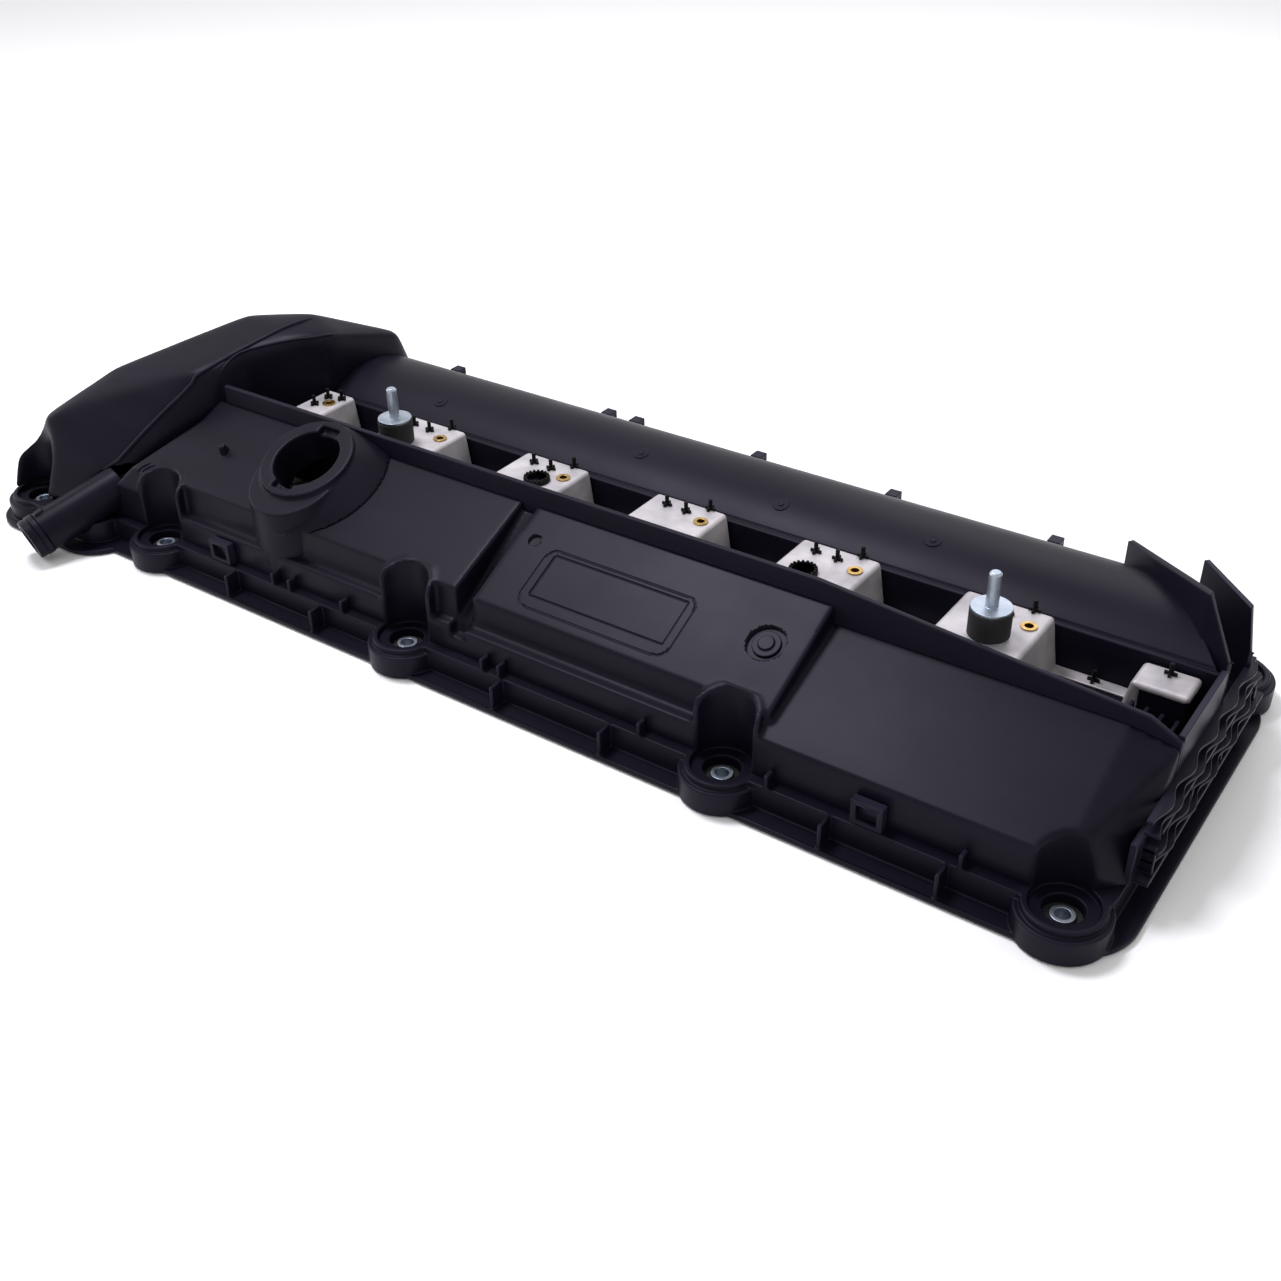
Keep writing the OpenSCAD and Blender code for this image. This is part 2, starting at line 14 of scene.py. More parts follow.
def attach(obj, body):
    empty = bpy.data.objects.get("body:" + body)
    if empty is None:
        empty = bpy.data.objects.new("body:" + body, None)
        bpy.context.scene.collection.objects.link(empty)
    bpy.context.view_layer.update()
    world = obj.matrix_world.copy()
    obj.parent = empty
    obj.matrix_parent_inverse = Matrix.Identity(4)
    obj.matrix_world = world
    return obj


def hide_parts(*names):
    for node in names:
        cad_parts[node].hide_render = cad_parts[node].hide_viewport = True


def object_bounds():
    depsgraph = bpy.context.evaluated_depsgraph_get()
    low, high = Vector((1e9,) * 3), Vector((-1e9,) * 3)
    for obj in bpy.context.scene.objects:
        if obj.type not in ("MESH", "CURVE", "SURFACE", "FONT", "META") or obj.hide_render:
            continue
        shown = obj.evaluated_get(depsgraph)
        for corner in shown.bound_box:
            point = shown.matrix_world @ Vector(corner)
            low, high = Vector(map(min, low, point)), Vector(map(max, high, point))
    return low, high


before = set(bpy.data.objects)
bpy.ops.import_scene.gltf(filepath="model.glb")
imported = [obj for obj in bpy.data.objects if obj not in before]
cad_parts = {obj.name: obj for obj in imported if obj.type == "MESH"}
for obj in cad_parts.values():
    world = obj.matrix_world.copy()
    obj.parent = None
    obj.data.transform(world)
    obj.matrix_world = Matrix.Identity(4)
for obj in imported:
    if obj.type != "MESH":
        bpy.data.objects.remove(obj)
cad_low, cad_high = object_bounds()

# shared dimensions, as in the design
SEAT_OFFSET = 28.0  # first coil seat to the frame's origin, the first plug well
SEATS = 6
PITCH = 91.0  # one coil seat to the next
LAST_X = 455.0  # last coil seat
REAR_X = LAST_X + 95  # rear edge of the joint face
WALL = 3.0
WELD = 2e-6  # metres: vertices closer than this are one


# ------------------------------------------------------------------ small helpers

def mm(*v):
    """A point or length in millimetres, in metres."""
    if len(v) == 1:
        return v[0] / 1000
    return Vector(v) / 1000


def station(x, y, z):
    """The frame's point for a station counted from the first coil seat."""
    return mm(x - SEAT_OFFSET, y, z)


def link(name, mesh):
    """A new object in the scene."""
    obj = bpy.data.objects.new(name, mesh)
    bpy.context.scene.collection.objects.link(obj)
    return obj


def clean(mesh, angle=1.0):
    """Welds the mesh and joins faces that lie in one plane."""
    bm = bmesh.new()
    bm.from_mesh(mesh)
    bmesh.ops.remove_doubles(bm, verts=bm.verts, dist=WELD)
    bmesh.ops.dissolve_limit(
        bm, angle_limit=math.radians(angle), verts=bm.verts, edges=bm.edges,
        use_dissolve_boundaries=False
    )
    bmesh.ops.recalc_face_normals(bm, faces=bm.faces)
    bm.to_mesh(mesh)
    bm.free()


def copy_of(name, *nodes):
    """One new object with the shapes of some CAD nodes, welded but not dissolved."""
    bm = bmesh.new()
    for node in nodes:
        bm.from_mesh(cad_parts[node].data)
    bmesh.ops.remove_doubles(bm, verts=bm.verts, dist=WELD)
    mesh = bpy.data.meshes.new(name)
    bm.to_mesh(mesh)
    bm.free()
    return link(name, mesh)


def apply_all(obj):
    """Puts the result of the object's modifiers into its mesh."""
    graph = bpy.context.evaluated_depsgraph_get()
    mesh = bpy.data.meshes.new_from_object(obj.evaluated_get(graph))
    obj.modifiers.clear()
    obj.data = mesh
    return obj


def combine(obj, other, how):
    """Boolean of obj with other, which is used up."""
    mod = obj.modifiers.new("combine", "BOOLEAN")
    mod.operation = how
    mod.solver = "MANIFOLD"
    mod.object = other
    bpy.context.view_layer.update()
    apply_all(obj)
    bpy.data.objects.remove(other)
    return obj


def soften(obj, width, segments=3, angle=28):
    """Rounds the edges that turn by more than angle degrees, and shades the result."""
    clean(obj.data)
    mod = obj.modifiers.new("edge", "BEVEL")
    mod.width = mm(width)
    mod.segments = segments
    mod.limit_method = "ANGLE"
    mod.angle_limit = math.radians(angle)
    mod.use_clamp_overlap = False
    mod.miter_outer = "MITER_ARC"
    mod.harden_normals = False
    apply_all(obj)
    shade(obj)
    return obj


def shade(obj):
    """Smooth shading, with weighted normals that keep the flat faces flat."""
    for face in obj.data.polygons:
        face.use_smooth = True
    mod = obj.modifiers.new("normals", "WEIGHTED_NORMAL")
    mod.weight = 60
    mod.keep_sharp = True


def finish_piece(obj, material, slot, *nodes):
    """Gives a piece its material and hides the CAD nodes that it stands for; slot is not used."""
    obj.data.materials.clear()
    obj.data.materials.append(material)
    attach(obj, "root")
    if nodes:
        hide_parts(*nodes)
    return obj


# ------------------------------------------------------------------ materials

def new_material(name, color, roughness, metallic=0.0):
    mat = bpy.data.materials.new(name)
    mat.use_nodes = True
    shader = mat.node_tree.nodes["Principled BSDF"]
    shader.inputs["Base Color"].default_value = (*color, 1)
    shader.inputs["Roughness"].default_value = roughness
    shader.inputs["Metallic"].default_value = metallic
    return mat, mat.node_tree, shader


def noise(tree, scale, detail=3.0, stretch=(1, 1, 1), rough=0.55):
    """A noise of so many cells a metre in object space."""
    coords = tree.nodes.new("ShaderNodeTexCoord")
    mapping = tree.nodes.new("ShaderNodeMapping")
    mapping.inputs["Scale"].default_value = stretch
    tex = tree.nodes.new("ShaderNodeTexNoise")
    tex.inputs["Scale"].default_value = scale
    tex.inputs["Detail"].default_value = detail
    tex.inputs["Roughness"].default_value = rough
    tree.links.new(coords.outputs["Object"], mapping.inputs["Vector"])
    tree.links.new(mapping.outputs["Vector"], tex.inputs["Vector"])
    return tex.outputs["Fac"]


def ramp(tree, value, stops):
    """A colour ramp over value; stops holds (position, colour) pairs."""
    node = tree.nodes.new("ShaderNodeValToRGB")
    elements = node.color_ramp.elements
    while len(elements) < len(stops):
        elements.new(0.5)
    for element, (position, color) in zip(elements, stops):
        element.position = position
        element.color = (*color, 1)
    tree.links.new(value, node.inputs["Fac"])
    return node.outputs["Color"]


def base_ramp(tree, shader, value, stops):
    """A colour ramp over value as the shader's base colour."""
    tree.links.new(ramp(tree, value, stops), shader.inputs["Base Color"])


def roughness_span(tree, shader, value, low, high):
    """Roughness that runs from low to high with value."""
    tree.links.new(span(tree, value, low, high), shader.inputs["Roughness"])


def span(tree, value, low, high):
    """Value mapped from 0..1 to low..high."""
    node = tree.nodes.new("ShaderNodeMapRange")
    node.inputs["To Min"].default_value = low
    node.inputs["To Max"].default_value = high
    tree.links.new(value, node.inputs["Value"])
    return node.outputs["Result"]


def bump(tree, shader, layers):
    """Chains bump layers, each (height, strength, distance in mm), into the shader's normal."""
    last = None
    for height, strength, distance in layers:
        node = tree.nodes.new("ShaderNodeBump")
        node.inputs["Strength"].default_value = strength
        node.inputs["Distance"].default_value = mm(distance)
        tree.links.new(height, node.inputs["Height"])
        if last:
            tree.links.new(last, node.inputs["Normal"])
        last = node.outputs["Normal"]
    tree.links.new(last, shader.inputs["Normal"])


def edge_highlight_mask(tree, low, high):
    """0 on flat surfaces and 1 on convex edges, from the mesh's pointiness: the mask of a painted edge
    highlight.
    """
    geometry = tree.nodes.new("ShaderNodeNewGeometry")
    node = tree.nodes.new("ShaderNodeMapRange")
    node.inputs["From Min"].default_value = low
    node.inputs["From Max"].default_value = high
    tree.links.new(geometry.outputs["Pointiness"], node.inputs["Value"])
    return node.outputs["Result"]


def mix_color(tree, factor, a, b):
    """Colour a where factor is 0 and b where it is 1; each is a tuple or an output."""
    node = tree.nodes.new("ShaderNodeMix")
    node.data_type = "RGBA"
    tree.links.new(factor, node.inputs[0])
    for socket, value in ((node.inputs[6], a), (node.inputs[7], b)):  # the mix node's colour sockets
        if isinstance(value, tuple):
            socket.default_value = (*value, 1)
        else:
            tree.links.new(value, socket)
    return node.outputs[2]


def moulded_plastic(name, dark, light, gloss=0.40):
    """Glass-filled nylon: satin charcoal with fine grain, faint flow marks and a painted highlight along
    the convex edges.
    """
    mat, tree, shader = new_material(name, dark, gloss)
    shader.inputs["Specular IOR Level"].default_value = 0.11
    shader.inputs["Specular Tint"].default_value = (0.90, 0.87, 1.0, 1)
    clouds = noise(tree, 14, 4)
    flow = noise(tree, 30, 5, (0.35, 1.6, 1.6))
    grain = noise(tree, 2600, 2)
    speck = noise(tree, 900, 3, rough=0.7)
    tone = ramp(tree, flow, [(0.30, dark), (0.72, light)])
    # convex edges are painted paler: a painted highlight that stands in for light catching the edges
    edge = edge_highlight_mask(tree, 0.52, 0.60)
    highlight_tone = tuple(min(1, c * 1.9 + 0.004) for c in light)
    tree.links.new(mix_color(tree, edge, tone, highlight_tone), shader.inputs["Base Color"])
    roughness_span(tree, shader, clouds, gloss - 0.07, gloss + 0.10)
    bump(tree, shader, [(clouds, 0.10, 1.2), (speck, 0.10, 0.10), (grain, 0.22, 0.05)])
    return mat


def rubber(name, color):
    """Matt rubber with a fine grain and paler scuffs."""
    mat, tree, shader = new_material(name, color, 0.75)
    grain = noise(tree, 1800, 3)
    scuff = noise(tree, 120, 4)
    base_ramp(tree, shader, scuff, [(0.35, color), (0.8, tuple(c * 2.2 for c in color))])
    roughness_span(tree, shader, scuff, 0.62, 0.85)
    bump(tree, shader, [(grain, 0.3, 0.08)])
    return mat


def pressed_sheet():
    """Matt aluminised sheet with rolling lines and a mottled oxide."""
    mat, tree, shader = new_material("earth_sheet", (0.40, 0.39, 0.40), 0.5, 0.5)
    rolled = noise(tree, 420, 3, (0.08, 1, 1))
    mottle = noise(tree, 55, 5)
    base_ramp(tree, shader, mottle, [(0.3, (0.34, 0.322, 0.338)), (0.7, (0.57, 0.54, 0.555))])
    roughness_span(tree, shader, mottle, 0.45, 0.62)
    bump(tree, shader, [(rolled, 0.14, 0.05), (mottle, 0.10, 0.3)])
    return mat


def plated_steel():
    """Bluish zinc plate."""
    mat, tree, shader = new_material("zinc_steel", (0.42, 0.47, 0.54), 0.4, 1.0)
    haze = noise(tree, 160, 4)
    lathe = noise(tree, 900, 2, (1, 1, 0.15))
    base_ramp(tree, shader, haze, [(0.3, (0.33, 0.38, 0.45)), (0.75, (0.52, 0.56, 0.62))])
    roughness_span(tree, shader, haze, 0.30, 0.52)
    bump(tree, shader, [(lathe, 0.10, 0.03)])
    return mat


def turned_brass():
    """Dull yellow brass with a cloudy tarnish."""
    mat, tree, shader = new_material("insert_brass", (0.50, 0.33, 0.10), 0.38, 1.0)
    haze = noise(tree, 300, 4)
    base_ramp(tree, shader, haze, [(0.3, (0.36, 0.22, 0.06)), (0.75, (0.62, 0.42, 0.16))])
    roughness_span(tree, shader, haze, 0.2, 0.4)
    bump(tree, shader, [(haze, 0.1, 0.05)])
    return mat


CHARCOAL = (0.0030, 0.0026, 0.0062)
CHARCOAL_LIGHT = (0.0058, 0.0050, 0.0112)
PLASTIC = moulded_plastic("moulding", CHARCOAL, CHARCOAL_LIGHT)
PIN_PLASTIC = moulded_plastic("pin_plastic", (0.003, 0.003, 0.003), (0.005, 0.005, 0.005), 0.5)
BAFFLE = moulded_plastic("baffle_plastic", (0.009, 0.009, 0.010), (0.015, 0.015, 0.016), 0.55)
BUFFER_RUBBER = rubber("buffer_rubber", (0.0038, 0.0036, 0.0046))
SEAL_RUBBER = rubber("seal_rubber", (0.004, 0.004, 0.004))
SHEET = pressed_sheet()
STEEL = plated_steel()
BRASS = turned_brass()


# ------------------------------------------------------------------ solids in mesh code

def mesh_object(name, bm):
    """A new object from a bmesh, with its normals turned outwards."""
    bmesh.ops.recalc_face_normals(bm, faces=bm.faces)
    mesh = bpy.data.meshes.new(name)
    bm.to_mesh(mesh)
    bm.free()
    return link(name, mesh)


def loft(name, loops):
    """A closed solid through loops of stations that all have the same number of points."""
    bm = bmesh.new()
    rows = [[bm.verts.new(station(*point)) for point in loop] for loop in loops]
    count = len(loops[0])
    for low_row, high_row in zip(rows, rows[1:]):
        for i in range(count):
            j = (i + 1) % count
            bm.faces.new((low_row[i], low_row[j], high_row[j], high_row[i]))
    bm.faces.new(rows[0])
    bm.faces.new(rows[-1])
    return mesh_object(name, bm)


def prism_x(profile, x0, x1):
    """A (y, z) profile drawn out along X."""
    return loft("prism", [[(x, y, z) for y, z in profile] for x in (x0, x1)])


def prism_y(profile, y0, y1):
    """An (x, z) profile drawn out along Y."""
    return loft("prism", [[(x, y, z) for x, z in profile] for y in (y0, y1)])


def prism_z(profile, z0, z1):
    """An (x, y) profile drawn out along Z."""
    return loft("prism", [[(x, y, z) for x, y in profile] for z in (z0, z1)])


def hull_of(points):
    """The convex solid round some stations."""
    bm = bmesh.new()
    verts = [bm.verts.new(station(*point)) for point in points]
    made = bmesh.ops.convex_hull(bm, input=verts)
    inside = [v for v in made["geom_interior"] if isinstance(v, bmesh.types.BMVert)]
    bmesh.ops.delete(bm, geom=inside, context="VERTS")
    return mesh_object("hull", bm)


def round_loop(center, u, v, r, segments=64):
    """A circle of stations round center in the plane of the unit vectors u and v."""
    turn = 2 * math.pi / segments
    return [
        tuple(center + u * (r * math.cos(turn * i)) + v * (r * math.sin(turn * i)))
        for i in range(segments)
    ]


def rod(start, end, r0, r1=None, segments=64):
    """A round bar between two stations, tapered where r1 is given."""
    start, end = Vector(start), Vector(end)
    along = (end - start).normalized()
    side = along.orthogonal().normalized()
    other = along.cross(side)
    loops = [
        round_loop(start, side, other, r0, segments),
        round_loop(end, side, other, r0 if r1 is None else r1, segments),
    ]
    return loft("rod", loops)


def union(pieces):
    """The first piece with all the others joined to it."""
    first = pieces[0]
    for piece in pieces[1:]:
        combine(first, piece, "UNION")
    return first


def cut(obj, pieces):
    """Takes each of the pieces out of obj."""
    for piece in pieces:
        combine(obj, piece, "DIFFERENCE")
    return obj


def common(obj, other):
    """What obj and other have in common."""
    return combine(obj, other, "INTERSECT")


def remesh(obj, voxel, rounds):
    """Melts the edges: a voxel remesh, then a few rounds of smoothing."""
    mod = obj.modifiers.new("voxels", "REMESH")
    mod.mode = "VOXEL"
    mod.voxel_size = mm(voxel)
    mod = obj.modifiers.new("relax", "SMOOTH")
    mod.factor = 0.5
    mod.iterations = rounds
    return apply_all(obj)


def spline(points, steps):
    """Catmull-Rom points through the given ones."""
    points = [Vector(p) for p in points]
    ends = [points[0] * 2 - points[1]] + points + [points[-1] * 2 - points[-2]]
    path = []
    for p0, p1, p2, p3 in zip(ends, ends[1:], ends[2:], ends[3:]):
        for i in range(steps):
            t = i / steps
            path.append(0.5 * (
                p1 * 2 + (p2 - p0) * t + (p0 * 2 - p1 * 5 + p2 * 4 - p3) * t ** 2
                + (p1 * 3 - p0 - p2 * 3 + p3) * t ** 3
            ))
    return path + [points[-1]]


def bead(name, on, points, r):
    """A moulded lip that follows a surface along a curve through stations, half sunk in it."""
    offset = Vector((SEAT_OFFSET, 0, 0))
    path = []
    for point in spline(points, 6):
        found, place, normal, index = on.closest_point_on_mesh(station(*point))
        path.append(place * 1000 + offset)
    loops = []
    for i, point in enumerate(path):
        along = (path[min(i + 1, len(path) - 1)] - path[max(i - 1, 0)]).normalized()
        side = along.cross(Vector((0, 0, 1))).normalized()
        taper = min(1.0, 0.3 + 0.35 * min(i, len(path) - 1 - i))
        loops.append(round_loop(point, side, along.cross(side), r * taper, 12))
    obj = loft(name, loops)
    obj.name = name
    shade(obj)
    return finish_piece(obj, PLASTIC, "moulding")


# ------------------------------------------------------------------ filler-side chamber

NEAR_Y = -98.5  # the chamber's front wall
RIM_Y = -32.0  # the valley rim's near face
RAIL_Z = 16.0  # the flange's upper lip
SUNK_Z = RAIL_Z - 2.4  # the chamber's foot, sunk in the lip
FAR_Z = 73.8  # far edge of the first two panels
REAR_FAR_Z = FAR_Z - 10
POCKET_R = 15.0  # room for a wrench socket round each near bolt
BOLT_Y = -99.0
BOLT_XS = (-40.6, 155.3, 354.9, REAR_X - 28)
CHEEK_Z = (49.0, 49.0, 46.0)  # the panel's near edge at the first three bolts
NECK_AT = Vector((53.7, -62.0, 76.0))  # the middle of the filler ring
NECK_UP = Vector((0, -math.sin(math.radians(23)), math.cos(math.radians(23))))
NECK_CUT_R = 24.4  # hole round the neck
NOZZLE_ROOT = (-90, -92, 29)
NOZZLE_TIP = (-106, -147, 13)
NOZZLE_CUT_R = 12.8
PANELS = (  # x0, x1, near y, near z, far z, ledge z
    (-52.0, 186.0, -91.0, 49.0, FAR_Z, 31.0),
    (185.0, 197.0, -91.0, 31.0, FAR_Z - 4, 24.0),
    (196.0, 374.0, -90.0, 46.0, FAR_Z, 30.0),
)


def foot_and_inner(t):
    """Foot height and inner Y of a chamber solid; one drawn in by t runs out past both."""
    return SUNK_Z - (1 if t else 0), RIM_Y + (0.5 if t else 0)


def panel_profile(near_y, near_z, far_z, ledge_z, t):
    """Front wall, ledge, riser and sloping panel; t draws it in by a wall thickness."""
    foot, inner = foot_and_inner(t)
    return [
        (NEAR_Y + t, foot), (NEAR_Y + 0.5 + t, ledge_z - t), (near_y + t, ledge_z + 0.8 - t),
        (near_y + 0.9 + t, near_z - t * 0.8), (inner, far_z - t * 1.1), (inner, foot),
    ]


def rear_panel(t):
    """The lower rear panel with its sloping end."""
    foot, inner = foot_and_inner(t)
    front = NEAR_Y + 0.5 + t
    section = [(front, foot), (front, 36.5 - t), (inner, REAR_FAR_Z - t), (inner, foot)]
    end = [(-74 + t, foot), (-60, 31 - t), (-46, 46 - t), (inner, 60 - t), (inner, foot)]
    points = [(x, y, z) for x in (373 + t, REAR_X - 32 - t) for y, z in section]
    return hull_of(points + [(REAR_X - 10 - t, y, z) for y, z in end])


def corner_wedge(t):
    """The low corner beside the timing housing: a triangle in plan under two sloping roofs."""
    foot, _ = foot_and_inner(t)
    front = NEAR_Y - 2
    plan = [(-86 + 2 * t, NEAR_Y + t), (-51, NEAR_Y + t), (-51, -44 + 2 * t)]
    across = [(front, 0), (front, 35 - t), (-91, 49 - t), (-34, 73 - t), (-34, 0)]
    along = [(-90, 0), (-90, 23 - t), (-72, 46 - t), (-52, 66 - t), (-50, 66 - t), (-50, 0)]
    wedge = prism_z(plan, foot, 90)
    common(wedge, prism_x(across, -92, -48))
    return common(wedge, prism_y(along, front, -30))


def chamber_solid(t):
    """The chamber's whole outside, or its inside where t is the wall thickness."""
    first, dip, second = PANELS
    pieces = [prism_x(panel_profile(*rest, t), x0 + t, x1 - t) for x0, x1, *rest in (first, second)]
    x0, x1, *rest = dip
    pieces.append(prism_x(panel_profile(*rest, t), x0 - t * 1.5, x1 + t * 1.5))
    return union(pieces + [rear_panel(t), corner_wedge(t)])


def pocket(x, r):
    """The upright round room over a near bolt."""
    return rod((x, BOLT_Y, SUNK_Z - 3), (x, BOLT_Y, 110), r)


def cheeks(x, panel_z):
    """The curved walls that carry a socket pocket out over the ledge."""
    wall = rod((x, BOLT_Y, SUNK_Z), (x, BOLT_Y, panel_z + 8), POCKET_R + WALL)
    front, back = NEAR_Y + 0.6, -84
    foot = SUNK_Z - 1
    steps = 8
    swept = [(front, foot)]
    for i in range(steps + 1):
        turn = i / steps * math.pi / 2
        swept.append((front + 8 * (1 - math.cos(turn)), panel_z - 9 + 9.6 * math.sin(turn)))
    swept += [(back, panel_z + 3.2), (back, foot)]
    return common(wall, prism_x(swept, x - 30, x + 30))


class Panel:
    """The plane of a sloping panel: points on it by station x and y, and heights off it."""

    def __init__(self, near_y, near_z, far_z):
        self.near_y, self.near_z = near_y + 0.9, near_z
        self.slope = (far_z - near_z) / (RIM_Y - self.near_y)
        self.normal = Vector((0, -self.slope, 1)).normalized()
        self.up_slope = Vector((0, 1, self.slope)).normalized()

    def at(self, x, y, lift=0.0):
        """The point at a station's x and y, lifted off the plane."""
        point = Vector((x, y, self.near_z + (y - self.near_y) * self.slope))
        return point + self.normal * lift


SECOND = Panel(-90, 46, FAR_Z)
MARK_AT = (353.5, -59.5)  # the round mark on the second panel


def rounded_outline(x0, x1, y0, y1, r, steps=6):
    """Corner points (x, y) of a rectangle with rounded corners."""
    points = []
    centers = ((x1 - r, y1 - r, 0), (x0 + r, y1 - r, 90), (x0 + r, y0 + r, 180), (x1 - r, y0 + r, 270))
    for cx, cy, start in centers:
        for i in range(steps + 1):
            turn = math.radians(start + 90 * i / steps)
            points.append((cx + r * math.cos(turn), cy + r * math.sin(turn)))
    return points


def groove(panel, x0, x1, y0, y1, r, width, depth):
    """A closed rectangular groove's cutter, sunk by depth in a panel."""
    outer = rounded_outline(x0, x1, y0, y1, r)
    inner = rounded_outline(x0 + width, x1 - width, y0 + width, y1 - width, max(r - width, 0.4))
    above = 1.0
    bm = bmesh.new()
    rings = []
    for outline, lift in ((outer, above), (inner, above), (inner, -depth), (outer, -depth)):
        rings.append([bm.verts.new(station(*panel.at(x, y, lift))) for x, y in outline])
    count = len(outer)
    for k in range(4):
        near, far = rings[k], rings[(k + 1) % 4]
        for i in range(count):
            j = (i + 1) % count
            bm.faces.new((near[i], near[j], far[j], far[i]))
    return mesh_object("groove", bm)


def disc(panel, x, y, r, low, high):
    """A round cutter or pad standing square on a panel."""
    across = Vector((1, 0, 0))
    loops = [round_loop(panel.at(x, y, lift), across, panel.up_slope, r, 48) for lift in (low, high)]
    return loft("disc", loops)


def chamber_outside():
    """The chamber's solid with its cheeks and pockets, its edges melted."""
    piece = chamber_solid(0)
    for x, panel_z in zip(BOLT_XS, CHEEK_Z):
        combine(piece, cheeks(x, panel_z), "UNION")
    cut(piece, [pocket(x, POCKET_R) for x in BOLT_XS])
    cut(piece, [rod(NOZZLE_ROOT, NOZZLE_TIP, NOZZLE_CUT_R)])
    return remesh(piece, 1.2, 5)


def chamber_inside():
    """The room inside the chamber, which keeps a wall round each pocket."""
    inside = chamber_solid(WALL)
    return cut(inside, [pocket(x, POCKET_R + WALL) for x in BOLT_XS])


def pocket_arcs(chamber):
    """Two arched lips on the panel round the first pocket."""
    for i, r in enumerate((20.0, 23.5)):
        arc = []
        for step in range(6):
            turn = math.radians(112 + 12 * step)
            arc.append((BOLT_XS[0] + r * math.cos(turn), BOLT_Y + r * math.sin(turn), 50))
        bead("pocket_arc_%d" % (i + 1), chamber, arc, 0.8)


def panel_details():
    """The raised rings in the round mark, and the pip on the first panel."""
    marks = union([
        disc(SECOND, *MARK_AT, 7.2, -2.1, -0.6),
        disc(SECOND, *MARK_AT, 4.0, -2.1, 0.5),
    ])
    pip = rod((-17.5, -61.5, 60), (-17.0, -64.0, 65.5), 3.4, 1.9, 24)
    for obj, name in ((marks, "panel_mark"), (pip, "panel_pip")):
        obj.name = name
        soften(obj, 0.5, 3)
        finish_piece(obj, PLASTIC, "moulding")


def filler_chamber():
    """Three sloping panels, their ledges and the socket pockets, hollow below."""
    piece = chamber_outside()
    cut(piece, [chamber_inside()])
    label = groove(SECOND, 224, 306.5, -77.5, -53.5, r=0.8, width=0.55, depth=0.35)
    label_frame = groove(SECOND, 218.5, 311.5, -83.5, -50.5, r=7, width=0.8, depth=0.45)
    dimple = disc(SECOND, 207.4, -49.7, r=3.7, low=-1.6, high=3)
    mark_recess = disc(SECOND, *MARK_AT, r=9.8, low=-1.9, high=3)
    neck_hole = rod(NECK_AT - NECK_UP * 30, NECK_AT + NECK_UP * 5, NECK_CUT_R)
    cut(piece, [label, label_frame, dimple, mark_recess, neck_hole])
    piece.name = "filler_chamber_moulded"
    shade(piece)
    finish_piece(piece, PLASTIC, "moulding", "filler_chamber", "rear_chamber", "socket_pockets")
    pocket_arcs(piece)
    panel_details()


# ------------------------------------------------------------------ neck and timing housing

def filler_neck():
    """The tilted neck, its edges and the root of its flare melted together."""
    piece = copy_of("filler_neck_moulded", "filler_neck")
    tower = Vector((NECK_AT.x, NECK_AT.y - 8.5, 0))
    cut(piece, [rod(tower + Vector((0, 0, 12)), tower + Vector((0, 0, 43)), NECK_CUT_R)])
    remesh(piece, 0.75, 4)
    shade(piece)
    finish_piece(piece, PLASTIC, "moulding", "filler_neck")


def melt_upper(obj, low_z, high_z, rounds):
    """Smooths a mesh above low_z, fully from high_z up, so that its foot stays where it is."""
    group = obj.vertex_groups.new(name="upper")
    for vert in obj.data.vertices:
        height = vert.co.z * 1000
        group.add([vert.index], min(1, max(0, (height - low_z) / (high_z - low_z))), "REPLACE")
    mod = obj.modifiers.new("melt", "SMOOTH")
    mod.factor = 0.5
    mod.iterations = rounds
    mod.vertex_group = "upper"
    apply_all(obj)
    obj.vertex_groups.clear()
    return obj


def timing_housing():
    """The tall end body, rounded all over, with moulded lips along its crest and inner edge."""
    piece = copy_of("timing_housing_moulded", "timing_housing")
    remesh(piece, 1.5, 4)
    melt_upper(piece, 0, 45, 70)
    shade(piece)
    finish_piece(piece, PLASTIC, "moulding", "timing_housing")
    crest = [
        (-93, -97, 38), (-77, -71, 64), (-61, -46, 86), (-59, -40, 93), (-53, -12, 99), (-46, 14, 103),
        (-40, 40, 105),
    ]
    inner_edge = [(-51, -30, 90), (-51, -12, 98), (-38, 8, 101), (-24, 26, 101), (-19, 40, 100)]
    bead("housing_crest", piece, crest, 1.3)
    bead("housing_inner_edge", piece, inner_edge, 0.9)


# ------------------------------------------------------------------ earth plate

SEAT_TOP = 66.8  # top of the coil seats under the sheet
FLOOR_Z = 40.0  # valley floor
CAP_FOOT = FLOOR_Z - 1.5
SHEET_T = 1.2
SHEET_ROUND = 2.3  # the pressed corners' radius
SHEET_FAR_Y = 24.6
SEAT_ENDS = [(i * PITCH, -20 if i == 0 else -42) for i in range(SEATS)]  # seat x, its left end from there
INSERT_AT = (-1.2, 9)  # from the seat's x
INSERT_HOLE_R = 3.05
DUCT_SOCKETS = ((2, -12, -1), (4, -22, -6))  # seat number, x from the seat, y
DUCT_HOLE_R = 7.5


def seat_cap(x, left, t):
    """The tapered outline of one coil seat, grown by t; a cutter runs out at its far end."""
    profile = [
        (x + left - t, CAP_FOOT), (x + 9.1 + t, CAP_FOOT), (x + 4.4 + t, SEAT_TOP + t),
        (x + left + 4.5 - t, SEAT_TOP + t),
    ]
    return prism_y(profile, -25 - t, SHEET_FAR_Y if t > 0.5 else 26)


def sheet_hole(x, y, r, segments):
    """A cutter for a round hole in the top of a cap."""
    return rod((x, y, 60), (x, y, 75), r, segments=segments)


def pressed(solid, width, segments, angle=28):
    """Rounds a solid's edges and leaves it ready to be cut."""
    soften(solid, width, segments, angle)
    solid.modifiers.clear()
    return solid


